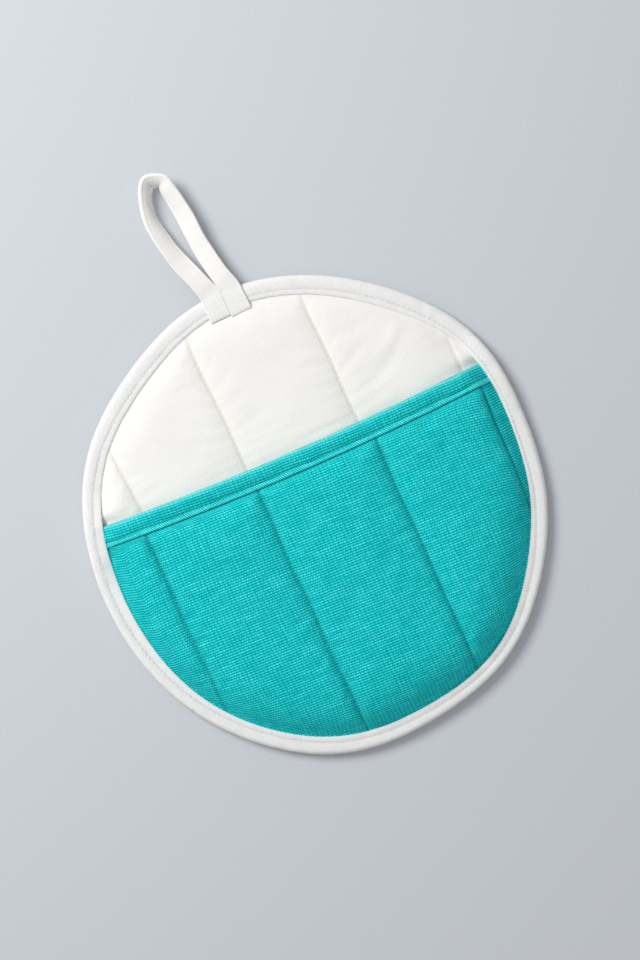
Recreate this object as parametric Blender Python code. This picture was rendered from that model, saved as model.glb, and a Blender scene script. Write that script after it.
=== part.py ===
"""A round pot holder with a pocket for the fingers.

A white quilted disc carries a teal quilted pocket over its lower part. A folded teal strip
finishes the mouth of the pocket, a folded white tape binds the rim, and a tape loop at the
top hangs it up. It lies on its back, with the loop towards +Y and the pocket on top.
Lengths are in metres and angles in degrees.
"""

import math

import bmesh
import bpy
from mathutils import Vector
from mathutils.geometry import delaunay_2d_cdt

# The disc over its binding, and how sewing pulls it out of round:
# (lobes round the rim, height of a lobe over the mean radius, direction of the first lobe)
DIAMETER = 0.2206
OUT_OF_ROUND = (
    (1, 0.00075, 296.0),
    (2, 0.00206, 82.9),
    (3, 0.00055, 26.0),
    (4, 0.00024, 44.7),
    (5, 0.00072, 19.1),
    (6, 0.00045, 23.1),
    (7, 0.00031, 38.7),
    (8, 0.00021, 25.3),
    (9, 0.00024, 19.9),
)

# Cloth, wadding and the air between two layers that touch
CLOTH = 0.0006
LAYER_GAP = 0.0003
WADDING_PINCHED = 0.0006

# The disc: its thickness where a pillow is full, and how far seams and rim stand off the table
BACK_LOFT = 0.0080
BACK_SEAM_LIFT = 0.0014
RIM_LIFT = 0.0030
PILLOW_SHOULDER = 0.016

# The pocket: its thickness, the room for fingers under it, and how soon it rises from the rim
POCKET_LOFT = 0.0068
POCKET_SEAM_LIFT = 0.0014
POCKET_AIR = 0.0054
POCKET_RISE = 0.030
PANEL_GAP = 0.0004

# Quilting lines that run towards the loop: (x at the disc's centre, lean in x along y)
BACK_QUILTING = ((-0.0715, -0.075), (-0.0203, -0.022), (0.0365, -0.015), (0.0893, 0.0))
POCKET_QUILTING = ((-0.0761, 0.0), (-0.0204, -0.008), (0.0390, 0.0), (0.0932, 0.025))

# The mouth of the pocket: its lowest point, and how much it curves up to each side
MOUTH_X = 0.018
MOUTH_Y = 0.0300
MOUTH_CURVE = 0.34
STRIP_WIDTH = 0.0102
STRIP_BACK_WIDTH = 0.0088
STRIP_CLOTH = 0.0008
STRIP_CLEARANCE = 0.0005
STRIP_ROOM_EASE = 0.006

# The binding round the rim
BINDING_WIDTH = 0.0088
BINDING_BACK_WIDTH = 0.0084
BINDING_CLOTH = 0.0008
BINDING_ROLL = 0.0009
BINDING_EASE = 0.006
PANEL_INSET = 0.0020
PILLOW_START = 0.0004

# The hanging loop
LOOP_REACH = 0.0642
LOOP_HOLE = 0.0070
LOOP_TAPE_WIDTH = 0.0092
LOOP_TAPE_THICKNESS = 0.0015
LOOP_TAB = 0.0120
LOOP_STRAND_GAP = 0.0005
LOOP_X = 0.0012
LOOP_HEIGHT = 0.0064

# How finely the curved surfaces are cut
COLUMN_OFFSETS = (0.0035, 0.0085, 0.016)
ROW_PITCH = 0.019
RING_INSETS = (0.0045, 0.0110)
POINT_SPACING = 0.0042
RIM_STATIONS = 108
MOUTH_STATIONS = 34

# Colour, roughness of each piece
WHITE_COTTON = ((0.88, 0.86, 0.82, 1.0), 0.90)
WHITE_TAPE = ((0.91, 0.90, 0.87, 1.0), 0.85)
WADDING = ((0.80, 0.78, 0.72, 1.0), 0.95)
TEAL_CANVAS = ((0.010, 0.45, 0.45, 1.0), 0.85)

PINCHED = 2 * CLOTH + 2 * LAYER_GAP + WADDING_PINCHED
STRIP_ROOM = STRIP_CLOTH + STRIP_CLEARANCE
FLAT_RIM = BINDING_WIDTH + PILLOW_START


def clear_scene():
    for thing in list(bpy.data.objects):
        bpy.data.objects.remove(thing, do_unlink=True)


def rim_radius(angle):
    """The radius of the outer edge of the binding, angle in radians from +X."""
    lobes = (high * math.cos(n * (angle - math.radians(at))) for n, high, at in OUT_OF_ROUND)
    return DIAMETER / 2 + sum(lobes)


def rim_point(angle, inset):
    radius = rim_radius(angle) - inset
    return radius * math.cos(angle), radius * math.sin(angle)


def inside_rim(x, y):
    """How far a point lies inside the outer edge of the binding."""
    return rim_radius(math.atan2(y, x)) - math.hypot(x, y)


def mouth_y(x):
    return MOUTH_Y + MOUTH_CURVE * (x - MOUTH_X) ** 2


def below_mouth(x, y):
    return mouth_y(x) - y


def rise(distance, reach):
    """From 0 at a seam to 1 where the pillow beside it is full."""
    share = min(max(distance / reach, 0.0), 1.0)
    return 1 - (1 - share) ** 3


def ease(value, start, end):
    share = min(max((value - start) / (end - start), 0.0), 1.0)
    return share * share * (3 - 2 * share)


def quilting_x(line, y):
    at_centre, lean = line
    return at_centre + lean * y


def fullness(x, y, lines):
    """0 on a quilting line and 1 in the middle of a pillow."""
    return min(rise(abs(x - quilting_x(line, y)), PILLOW_SHOULDER) for line in lines)


def from_binding(x, y):
    return rise(inside_rim(x, y) - FLAT_RIM, PILLOW_SHOULDER)


def back_bottom(x, y):
    full = from_binding(x, y)
    dip = 1 - fullness(x, y, BACK_QUILTING)
    return RIM_LIFT * (1 - full) + BACK_SEAM_LIFT * dip * full


def back_top(x, y):
    full = from_binding(x, y) * fullness(x, y, BACK_QUILTING)
    return back_bottom(x, y) + PINCHED + (BACK_LOFT - PINCHED) * full


def strip_zone(x, y):
    """1 where the strip along the mouth covers the pocket, 0 well below it."""
    return 1 - ease(below_mouth(x, y), STRIP_WIDTH, STRIP_WIDTH + STRIP_ROOM_EASE)


def pocket_bottom(x, y):
    """The lining's lower face: over the back's fullest pillows, with room for fingers."""
    full = from_binding(x, y)
    strip = strip_zone(x, y)
    back = RIM_LIFT * (1 - full) + PINCHED + (BACK_LOFT - PINCHED) * full
    air = PANEL_GAP + POCKET_AIR * rise(inside_rim(x, y) - FLAT_RIM, POCKET_RISE)
    dip = 1 - fullness(x, y, POCKET_QUILTING)
    return back + air + STRIP_ROOM * strip + POCKET_SEAM_LIFT * dip * full * (1 - strip)


def pocket_top(x, y):
    under_strip = rise(below_mouth(x, y) - STRIP_WIDTH - PILLOW_START, PILLOW_SHOULDER)
    full = from_binding(x, y) * fullness(x, y, POCKET_QUILTING) * under_strip
    return pocket_bottom(x, y) + PINCHED + (POCKET_LOFT - PINCHED) * full


def back_room(x, y):
    return inside_rim(x, y) - FLAT_RIM


def pocket_room(x, y):
    return min(back_room(x, y), below_mouth(x, y) - STRIP_WIDTH - PILLOW_START)


def crossing(inside, low, high):
    """The value from low to high at which inside() turns from negative to positive."""
    for _ in range(40):
        middle = (low + high) / 2
        low, high = (low, middle) if inside(middle) > 0 else (middle, high)
    return (low + high) / 2


def column(line, offset, room):
    """Points along a line beside a quilting line, from one edge of the pillows to the other."""
    def x_at(y):
        return quilting_x(line, y) + offset

    tall = DIAMETER / 2
    steps = [tall * (k / 40 - 1) for k in range(81)]
    free = [y for y in steps if room(x_at(y), y) > 0]
    if not free:
        return []
    pitch = tall / 40
    low = crossing(lambda y: room(x_at(y), y), free[0] - pitch, free[0])
    high = crossing(lambda y: room(x_at(y), y), free[-1] + pitch, free[-1])
    rows = max(1, round((high - low) / ROW_PITCH))
    ys = [low + (high - low) * k / rows for k in range(rows + 1)]
    return [(x_at(y), y) for y in ys]


def side_offsets():
    return [side * offset for offset in COLUMN_OFFSETS for side in (1, -1)]


def middle_lines(lines):
    """The lines along the middle of the pillows between two quilting lines."""
    return [((a[0] + b[0]) / 2, (a[1] + b[1]) / 2) for a, b in zip(lines, lines[1:])]


def ring(inset, room, spacing):
    count = round(math.pi * DIAMETER / spacing)
    points = [rim_point(2 * math.pi * k / count, inset) for k in range(count)]
    return [p for p in points if room(*p) > -PILLOW_START / 2]


def add_spread(kept, points, spacing):
    """Adds each point that lies clear of those kept, and returns the places of all of them."""
    places = []
    for point in points:
        near = min(((math.dist(point, other), at) for at, other in enumerate(kept)), default=(1, 0))
        if near[0] > spacing:
            kept.append(point)
            near = (0, len(kept) - 1)
        places.append(near[1])
    return places


def cut_panel(edge, fold, room, lines, rows=()):
    """A flat panel cut into triangles whose edges follow its quilting and its flat hem."""
    points = list(edge)
    quilting = [column(line, 0.0, room) for line in lines]
    beside = [column(line, offset, room) for offset in side_offsets() for line in lines]
    ends = [end for row in quilting + beside for end in (*row[:1], *row[-1:])]
    for row in rows:
        add_spread(points, row, POINT_SPACING / 5)
    hem = add_spread(points, [*fold, *ends], POINT_SPACING / 3)
    creases = neighbours(sorted(set(hem), key=lambda at: angle_in(points, at)), True)
    for row in quilting:
        creases += neighbours(add_spread(points, row, POINT_SPACING / 3), False)
    for row in beside:
        add_spread(points, row, POINT_SPACING * 0.6)
    for line in middle_lines(lines):
        add_spread(points, column(line, 0.0, room), POINT_SPACING)
    for inset in RING_INSETS:
        add_spread(points, ring(FLAT_RIM + inset, room, 3 * POINT_SPACING), 1.5 * POINT_SPACING)
    flat = [Vector(point) for point in points]
    made = delaunay_2d_cdt(flat, creases, [list(range(len(edge)))], 1, 1e-7)
    return [tuple(v) for v in made[0]], [tuple(f) for f in made[2]]


def neighbours(places, closed):
    pairs = zip(places, places[1:] + places[:1] if closed else places[1:])
    return [pair for pair in pairs if pair[0] != pair[1]]


def angle_in(points, at):
    """The direction of a point from the middle of its panel."""
    middle_y = (max(y for _, y in points) + min(y for _, y in points)) / 2
    return math.atan2(points[at][1] - middle_y, points[at][0])


def new_object(name, vertices, faces, finish):
    mesh = bpy.data.meshes.new(name)
    mesh.from_pydata(vertices, [], faces)
    tidy = bmesh.new()
    tidy.from_mesh(mesh)
    bmesh.ops.recalc_face_normals(tidy, faces=tidy.faces)
    tidy.to_mesh(mesh)
    tidy.free()
    mesh.shade_smooth()
    mesh.set_sharp_from_angle(angle=math.radians(50))
    thing = bpy.data.objects.new(name, mesh)
    bpy.context.scene.collection.objects.link(thing)
    thing.data.materials.append(material(name, *finish))
    return thing


def material(name, colour, roughness):
    made = bpy.data.materials.new(name)
    made.use_nodes = True
    shader = made.node_tree.nodes["Principled BSDF"]
    shader.inputs["Base Color"].default_value = colour
    shader.inputs["Roughness"].default_value = roughness
    shader.inputs["Metallic"].default_value = 0.0
    return made


def layer(name, panel, lower, upper, finish):
    """One layer of a panel, between two surfaces."""
    points, triangles = panel
    count = len(points)
    vertices = [(x, y, upper(x, y)) for x, y in points]
    vertices += [(x, y, lower(x, y)) for x, y in points]
    faces = list(triangles)
    faces += [tuple(v + count for v in reversed(t)) for t in triangles]
    sides = {(t[k], t[(k + 1) % 3]) for t in triangles for k in range(3)}
    faces += [(b, a, a + count, b + count) for a, b in sides if (b, a) not in sides]
    return new_object(name, vertices, faces, finish)


def quilted(names, panel, bottom, top, finishes):
    """The cloth underneath, the wadding and the cloth on top of one quilted panel."""
    surfaces = (
        (bottom, lambda x, y: bottom(x, y) + CLOTH),
        (
            lambda x, y: bottom(x, y) + CLOTH + LAYER_GAP,
            lambda x, y: top(x, y) - CLOTH - LAYER_GAP,
        ),
        (lambda x, y: top(x, y) - CLOTH, top),
    )
    for name, (lower, upper), finish in zip(names, surfaces, finishes):
        layer(name, panel, lower, upper, finish)


def back_panel():
    count = round(math.pi * DIAMETER / (2 * POINT_SPACING))
    edge = [rim_point(2 * math.pi * k / count, PANEL_INSET) for k in range(count)]
    return cut_panel(edge, ring(FLAT_RIM, back_room, 2 * POINT_SPACING), back_room, BACK_QUILTING)


def row_end(side, inset, depth):
    """The x at which a row below the mouth meets the line that lies inset from the rim."""
    return side * crossing(
        lambda x: inset - inside_rim(side * x, mouth_y(side * x) - depth),
        0.0,
        DIAMETER / 2,
    )


def row_across(depth, end_inset):
    """Points across the pocket, a depth below its mouth and closer together towards the rim."""
    half = MOUTH_STATIONS // 2
    outward = [1 - (1 - k / half) ** 1.5 for k in range(half + 1)]
    insets = ((FLAT_RIM + end_inset) / 2, end_inset)
    xs = [0.0]
    for side in (-1, 1):
        reach = row_end(side, FLAT_RIM, depth)
        xs += [reach * share for share in outward[1:]]
        xs += [row_end(side, inset, depth) for inset in insets]
    return [(x, mouth_y(x) - depth) for x in sorted(xs)]


def pocket_panel():
    depths = (STRIP_WIDTH / 2, STRIP_WIDTH + PILLOW_START, STRIP_WIDTH + STRIP_ROOM_EASE)
    mouth, *rows = (row_across(depth, PANEL_INSET) for depth in (STRIP_ROOM, *depths))
    right, left = (math.atan2(y, x) for x, y in (mouth[-1], mouth[0]))
    sweep = right + 2 * math.pi - left
    count = round(rim_radius(0.0) * sweep / (2 * POINT_SPACING))
    around = [end for row in rows for end in (row[0], row[-1])]
    even = [rim_point(left + sweep * k / count, PANEL_INSET) for k in range(1, count)]
    add_spread(around, even, POINT_SPACING)
    around.sort(key=lambda point: (math.atan2(point[1], point[0]) - left) % (2 * math.pi))
    inner = [row[1:-1] for row in rows]
    fold = [point for point in inner[1] if back_room(*point) > -PILLOW_START / 2]
    fold += ring(FLAT_RIM, pocket_room, 2 * POINT_SPACING)
    edge = list(reversed(mouth)) + around
    return cut_panel(edge, fold, pocket_room, POCKET_QUILTING, inner)


def strip_rows():
    """The folded strip round the edge of the pocket, as rows across it in section order."""
    inner = STRIP_CLEARANCE
    outer = STRIP_CLEARANCE + STRIP_CLOTH
    near = STRIP_ROOM
    bend = STRIP_CLOTH / 3

    def row(depth, surface, off, at=None):
        points = row_across(depth, PANEL_INSET + BINDING_CLOTH)
        return [(x, y, surface(x, y if at is None else mouth_y(x) - at) + off) for x, y in points]

    def middle(x, y):
        return (pocket_top(x, y) + pocket_bottom(x, y)) / 2

    return [
        row(STRIP_WIDTH, pocket_top, outer),
        row(STRIP_WIDTH / 2, pocket_top, outer),
        row(near, pocket_top, outer - STRIP_CLOTH / 8),
        row(bend, pocket_top, 0.0, near),
        row(0.0, middle, 0.0, near),
        row(bend, pocket_bottom, 0.0, near),
        row(near, pocket_bottom, STRIP_CLOTH / 8 - outer),
        row(STRIP_WIDTH / 2, pocket_bottom, -outer),
        row(STRIP_BACK_WIDTH, pocket_bottom, -outer),
        row(STRIP_BACK_WIDTH, pocket_bottom, -inner),
        row(STRIP_WIDTH / 2, pocket_bottom, -inner),
        row(STRIP_CLOTH, pocket_bottom, -inner, near),
        row(STRIP_CLOTH, pocket_top, inner, near),
        row(STRIP_WIDTH / 2, pocket_top, inner),
        row(STRIP_WIDTH, pocket_top, inner),
    ]


def swept(name, sections, closed, finish):
    """A solid through a row of like sections, capped unless it closes on itself."""
    size = len(sections[0])
    count = len(sections)
    vertices = [point for section in sections for point in section]
    faces = []
    for k in range(count if closed else count - 1):
        near, far = k * size, (k + 1) % count * size
        for a in range(size):
            b = (a + 1) % size
            faces.append((near + a, near + b, far + b, far + a))
    if not closed:
        faces.append(tuple(reversed(range(size))))
        faces.append(tuple(range((count - 1) * size, count * size)))
    return new_object(name, vertices, faces, finish)


def pocket_strip():
    swept("pocket_binding", list(zip(*strip_rows())), False, TEAL_CANVAS)


def stack_top(x, y):
    """The top of all the layers that the binding has to close over, at a point of the rim."""
    disc = RIM_LIFT + PINCHED
    body = disc + PANEL_GAP + PINCHED
    strip = body + 2 * STRIP_ROOM
    below = below_mouth(x, y)
    onto_strip = ease(below, -2 * BINDING_EASE, -BINDING_EASE)
    off_strip = ease(below, STRIP_WIDTH + 2 * BINDING_EASE, STRIP_WIDTH + 3 * BINDING_EASE)
    return disc + (strip - disc) * onto_strip - (strip - body) * off_strip


def binding_section(angle):
    """The folded tape over the rim, as a closed loop of (inset from the rim, z)."""
    inner_top = stack_top(*rim_point(angle, PANEL_INSET)) + LAYER_GAP
    inner_bottom = RIM_LIFT - LAYER_GAP
    top = inner_top + BINDING_CLOTH
    bottom = inner_bottom - BINDING_CLOTH
    wall = PANEL_INSET - LAYER_GAP
    valley = BINDING_WIDTH * 0.76
    return [
        (BINDING_WIDTH, top),
        (valley, top),
        (BINDING_WIDTH * 0.58, top + BINDING_ROLL * 0.75),
        (BINDING_WIDTH * 0.38, top + BINDING_ROLL),
        (BINDING_WIDTH * 0.16, top + BINDING_ROLL * 0.5),
        (wall * 0.2, top - BINDING_CLOTH),
        (0.0, (top + bottom) / 2),
        (wall * 0.2, bottom + BINDING_CLOTH),
        (wall, bottom),
        (BINDING_BACK_WIDTH, bottom),
        (BINDING_BACK_WIDTH, inner_bottom),
        (wall, inner_bottom),
        (wall, inner_top),
        (BINDING_WIDTH, inner_top),
    ]


def edge_binding():
    angles = [2 * math.pi * k / RIM_STATIONS for k in range(RIM_STATIONS)]
    sections = [
        [(*rim_point(angle, inset), z) for inset, z in binding_section(angle)]
        for angle in angles
    ]
    swept("edge_binding", sections, True, WHITE_TAPE)


def loop_path():
    """Points of the loop's centreline as (x, y, z, roll), from the left tab to the right."""
    _, rim = rim_point(math.pi / 2, 0.0)
    half = LOOP_TAPE_WIDTH / 2
    left = LOOP_X - LOOP_STRAND_GAP / 2 - half
    right = LOOP_X + LOOP_STRAND_GAP / 2 + half
    lie = LOOP_TAPE_THICKNESS / 2 + LAYER_GAP
    binding = stack_top(0.0, rim) + LAYER_GAP + BINDING_CLOTH + lie
    crown = binding + BINDING_ROLL
    crown_y = rim - BINDING_WIDTH * 0.38
    eye_left = LOOP_X - 0.0090 - LOOP_HOLE
    eye_right = LOOP_X - 0.0015

    def out(share):
        return rim + LOOP_REACH * share

    return [
        (left + 0.0003, rim - LOOP_TAB, binding + LAYER_GAP, 0),
        (left + 0.0002, rim - BINDING_WIDTH * 0.80, binding + LAYER_GAP, 0),
        (left + 0.0001, crown_y, crown, 0),
        (left, out(0.015), binding, -2),
        (left - 0.0023, out(0.15), LOOP_HEIGHT + 0.0008, -8),
        (left - 0.0059, out(0.30), LOOP_HEIGHT, -17),
        (left - 0.0090, out(0.46), LOOP_HEIGHT, -30),
        (eye_left + 0.0003, out(0.62), LOOP_HEIGHT, -43),
        (eye_left + 0.0002, out(0.72), LOOP_HEIGHT, -52),
        (eye_left + 0.0011, out(0.81), LOOP_HEIGHT, -57),
        (eye_left + 0.0029, out(0.905), LOOP_HEIGHT, -61),
        (eye_left + 0.0054, out(0.964), LOOP_HEIGHT, -61),
        (eye_left + 0.0092, out(0.958), LOOP_HEIGHT, -60),
        (eye_left + 0.0125, out(0.930), LOOP_HEIGHT, -58),
        (eye_right - 0.0010, out(0.885), LOOP_HEIGHT, -50),
        (eye_right - 0.0009, out(0.84), LOOP_HEIGHT, -42),
        (eye_right + 0.0000, out(0.75), LOOP_HEIGHT, -35),
        (eye_right + 0.0011, out(0.60), LOOP_HEIGHT, -28),
        (right - 0.0039, out(0.44), LOOP_HEIGHT, -21),
        (right - 0.0028, out(0.30), LOOP_HEIGHT, -14),
        (right - 0.0013, out(0.15), LOOP_HEIGHT + 0.0008, -7),
        (right + 0.0001, out(0.015), binding, -2),
        (right + 0.0002, crown_y, crown, 0),
        (right + 0.0005, rim - BINDING_WIDTH * 0.80, binding + LAYER_GAP, 0),
        (right + 0.0007, rim - LOOP_TAB - 0.0008, binding + LAYER_GAP, 0),
    ]


def smooth_path(points, steps):
    """Catmull-Rom points through a row of points of any dimension."""
    padded = [points[0], *points, points[-1]]
    made = []
    for a, b, c, d in zip(padded, padded[1:], padded[2:], padded[3:]):
        for k in range(steps):
            t = k / steps
            made.append(tuple(
                0.5 * (2 * q + (r - p) * t + (2 * p - 5 * q + 4 * r - s) * t ** 2
                       + (3 * q - p - 3 * r + s) * t ** 3)
                for p, q, r, s in zip(a, b, c, d)
            ))
    return [*made, points[-1]]


def loop_section(before, here, after):
    """The tape's section as four corners with a crowned middle on each face."""
    along = (Vector(after[:3]) - Vector(before[:3])).normalized()
    up = Vector((0, 0, 1))
    outward = up.cross(along).normalized()
    square_up = along.cross(outward)
    roll = math.radians(here[3])
    across = math.cos(roll) * outward - math.sin(roll) * square_up
    facing = along.cross(across)
    width, thick = LOOP_TAPE_WIDTH / 2, LOOP_TAPE_THICKNESS / 2
    corners = ((1, 0.6), (0.85, 1), (-0.85, 1), (-1, 0.6), (-1, -0.6), (-0.85, -1), (0.85, -1), (1, -0.6))
    centre = Vector(here[:3])
    return [centre + across * width * a + facing * thick * b for a, b in corners]


def hanging_loop():
    path = smooth_path(loop_path(), 2)
    ends = [path[0], *path, path[-1]]
    sections = [loop_section(*three) for three in zip(ends, ends[1:], ends[2:])]
    swept("hanging_loop", sections, False, WHITE_TAPE)


def build():
    clear_scene()
    quilted(
        ("back_backing", "back_batting", "back_face"),
        back_panel(),
        back_bottom,
        back_top,
        (WHITE_COTTON, WADDING, WHITE_COTTON),
    )
    quilted(
        ("pocket_lining", "pocket_batting", "pocket_face"),
        pocket_panel(),
        pocket_bottom,
        pocket_top,
        (WHITE_COTTON, WADDING, TEAL_CANVAS),
    )
    pocket_strip()
    edge_binding()
    hanging_loop()


build()
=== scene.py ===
import math

import bpy
import numpy as np
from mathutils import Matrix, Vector


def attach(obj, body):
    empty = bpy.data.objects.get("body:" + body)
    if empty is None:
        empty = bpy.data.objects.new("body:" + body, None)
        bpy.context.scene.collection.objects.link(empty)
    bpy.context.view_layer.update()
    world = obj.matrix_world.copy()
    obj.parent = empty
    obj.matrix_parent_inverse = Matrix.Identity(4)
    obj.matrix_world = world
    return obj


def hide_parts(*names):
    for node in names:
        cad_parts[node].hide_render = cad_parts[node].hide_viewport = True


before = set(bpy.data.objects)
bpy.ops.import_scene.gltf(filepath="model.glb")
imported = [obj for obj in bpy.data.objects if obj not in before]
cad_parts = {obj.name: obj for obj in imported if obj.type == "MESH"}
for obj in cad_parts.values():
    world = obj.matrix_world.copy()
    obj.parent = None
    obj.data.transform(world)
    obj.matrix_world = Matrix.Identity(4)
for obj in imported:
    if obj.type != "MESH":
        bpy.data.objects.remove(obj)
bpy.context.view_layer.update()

# A round quilted pot holder: a white disc, a teal pocket with a folded strip along its mouth,
# a ribbed tape round the rim and a tape loop. Lengths are in metres, angles in degrees.

# The disc over its tape, and how sewing pulls it out of round: (lobes, height, direction)
DIAMETER = 0.2206
OUT_OF_ROUND = (
    (1, 0.00075, 296.0),
    (2, 0.00206, 82.9),
    (3, 0.00055, 26.0),
    (4, 0.00024, 44.7),
    (5, 0.00072, 19.1),
    (6, 0.00045, 23.1),
    (7, 0.00031, 38.7),
    (8, 0.00021, 25.3),
    (9, 0.00024, 19.9),
)

# Layers and pillows
CLOTH = 0.00055
LAYER_GAP = 0.0003
PINCHED = 0.0024
RIM_LIFT = 0.0030
RIM_SAG = 0.0011
RIM_PRESS = 0.0005
BACK_LOFT = 0.0078
BACK_SEAM_LIFT = 0.0010
BACK_SEAM = 0.0046
BACK_SHOULDER = 0.0110
POCKET_LOFT = 0.0068
POCKET_PINCHED = 0.0017
POCKET_SEAM = 0.0022
POCKET_SEAM_LIFT = 0.0006
POCKET_SHOULDER = 0.0085
POCKET_AIR = 0.0042
POCKET_RISE = 0.036
PANEL_GAP = 0.0003
RIM_SHOULDER = 0.015
POCKET_RIM_SHOULDER = 0.026
RIM_FLAT = 0.0009
POCKET_RIM_FLAT = 0.0013
PANEL_EDGE = 0.0030
BACK_CREASE = 0.0021
POCKET_CREASE = 0.0044
CREASE_SHARE = 0.50
STRIP_FOOT = 0.0060

# The narrow pillow beyond the pocket's last quilting line, and the full one before it
LAST_PILLOW_SLACK = 0.42
LAST_PILLOW_STEP = 0.0015
LAST_SEAM_DIP = 0.0004
LAST_SEAM_SPREAD = 0.0018
BRINK_WIDTH = 0.010
BRINK_RISE = 0.0028
LAST_RIM_CUT = 0.013
LAST_RIM_SPREAD = 0.008

# Seams: how near a point is sewn, how wide the marked line of painted crease shade is, a
# hand-guided seam's wander
SEWN_REACH = 0.0004
SEWN_MARK = 0.0007
SEAM_WANDER = 0.00022
SEAM_WAVE = 0.047

# Quilting lines: (x at the disc's centre, lean in x along y)
BACK_QUILTING = ((-0.0715, -0.075), (-0.0203, -0.022), (0.0360, -0.013), (0.0893, 0.0))
POCKET_QUILTING = ((-0.0761, 0.0), (-0.0204, -0.008), (0.0390, 0.0), (0.0932, 0.025))

# The mouth of the pocket and the strip folded over it
MOUTH_X = 0.018
MOUTH_Y = 0.0300
MOUTH_CURVE = 0.34
STRIP_WIDTH = 0.0102
STRIP_BACK_WIDTH = 0.0088
STRIP_CLOTH = 0.0006
STRIP_CLEARANCE = 0.0003
STRIP_ROOM = STRIP_CLOTH + STRIP_CLEARANCE
STRIP_ROOM_EASE = 0.006
STRIP_SEAM = 0.0073

# The tape round the rim: its width on the pocket side, which wanders, and its sewn crease
TAPE_WIDTH = 0.00845
TAPE_WANDER = ((1, 0.00100, 120.5), (2, 0.00020, 44.0), (4, 0.00020, 66.0), (5, 0.00038, 42.0))
TAPE_BACK_WIDTH = 0.0084
TAPE_BACK_CREASE = 0.0056
TAPE_CREASE = 0.66
CREASE_WANDER = ((1, 0.07, 33.0), (2, 0.03, 60.0), (3, 0.07, 116.5), (5, 0.02, 1.5))
TAPE_CLOTH = 0.0007
TAPE_EDGE = 0.00045
TAPE_ROLL = 0.00024
BAND_RISE = 0.0005
TAPE_WALL = 0.0017
TAPE_JOIN = 214.3

# Along the rim: how far before the mouth the stack starts to climb onto the strip, and how
# far past the strip it is down again, for the tape's edge, the layers and the tape's crown
EDGE_CLIMB = (0.017, 0.010)
LAYER_CLIMB = (0.0004, 0.001)
CROWN_CLIMB = (0.020, 0.026)
CLIMB_END = 0.0005
POCKET_JOINS = (-0.022, 0.003)

# How the disc swells beside the tape there: share of the climb, reach, and fade to the mouth
CORNER_SHARE = 0.72
CORNER_REACH = 0.014
CORNER_FADE = (-0.0060, -0.0002)

RIM_STITCHES = 248
RIB_PITCH = 0.00105

# The hanging loop
LOOP_REACH = 0.0642
LOOP_HOLE = 0.0070
LOOP_TAPE_WIDTH = 0.0092
LOOP_TAPE_THICKNESS = 0.0014
LOOP_TAB = 0.0120
LOOP_STRAND_GAP = 0.0005
LOOP_X = 0.0012
LOOP_HEIGHT = 0.0064

# Sewing thread
STITCH_PITCH = 0.0028
STITCH_LENGTH = 0.0022
THREAD = 0.00036

# How finely the surfaces are cut
CELL = 0.00116
LATTICE_HALF = 0.117
POCKET_LATTICE_DEPTH = 0.150
STRIP_ROWS = 8
RIM_STATIONS = 900
STRIP_STATIONS = 560
LOOP_STEPS = 14

# The camera and the lamp
CAMERA_HEIGHT = 1.25
CAMERA_ROLL = 24.2
CAMERA_AIM = (0.00792, 0.01270)
VIEW_HEIGHT = 0.4507
LAMP_DIRECTION = 122.0
LAMP_ELEVATION = 47.0
LAMP_DISTANCE = 1.3
LAMP_SIZE = 0.60
LAMP_SHARE = 0.54
FILL_SHARE = 0.48


# Shapes of the panels

def lobes(angle, table):
    return sum(high * np.cos(n * (angle - math.radians(at))) for n, high, at in table)


def rim_radius(angle):
    return DIAMETER / 2 + lobes(angle, OUT_OF_ROUND)


def tape_width(angle):
    return TAPE_WIDTH + lobes(angle, TAPE_WANDER)


def from_rim(x, y):
    """How far a point lies inside the outer edge of the tape."""
    return rim_radius(np.arctan2(y, x)) - np.hypot(x, y)


def past_tape(x, y):
    return from_rim(x, y) - tape_width(np.arctan2(y, x))


def mouth_y(x):
    return MOUTH_Y + MOUTH_CURVE * (x - MOUTH_X) ** 2


def below_mouth(x, y):
    return mouth_y(x) - y


def rise(distance, reach):
    """From 0 at a seam to 1 where the pillow beside it is full."""
    return 1 - (1 - np.clip(distance / reach, 0.0, 1.0)) ** 3


def ease(value, start, end):
    share = np.clip((value - start) / (end - start), 0.0, 1.0)
    return share * share * (3 - 2 * share)


def line_x(line, y):
    """A quilting line's x, with the small wander of a hand-guided seam."""
    at_centre, lean = line
    phase = 90 * at_centre + 2.2
    return at_centre + lean * y + SEAM_WANDER * np.sin(2 * math.pi * y / SEAM_WAVE + phase)


def from_seam(x, y, lines):
    return np.min([np.abs(x - line_x(line, y)) for line in lines], axis=0)


def fullness(apart, crease, shoulder):
    """0 on a quilting line, up a crisp crease and then a soft shoulder, to 1 on the pillow."""
    return CREASE_SHARE * rise(apart, crease) + (1 - CREASE_SHARE) * rise(apart, shoulder)


def back_fullness(x, y):
    return fullness(from_seam(x, y, BACK_QUILTING), BACK_CREASE, BACK_SHOULDER)


def pocket_fullness(x, y):
    return fullness(from_seam(x, y, POCKET_QUILTING), POCKET_CREASE, POCKET_SHOULDER)


def from_tape(x, y):
    return rise(past_tape(x, y) - RIM_FLAT, RIM_SHOULDER)


def pocket_side(x, y):
    """0 round the free part of the rim, easing to 1 where the pocket is sewn in."""
    out = DIAMETER / 2 / np.maximum(np.hypot(x, y), 0.02)
    return ease(below_mouth(x * out, y * out), *POCKET_JOINS)


def rim_lift(x, y):
    return RIM_LIFT - RIM_SAG * pocket_side(x, y)


def pinched(x, y):
    return PINCHED - RIM_PRESS * pocket_side(x, y)


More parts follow.
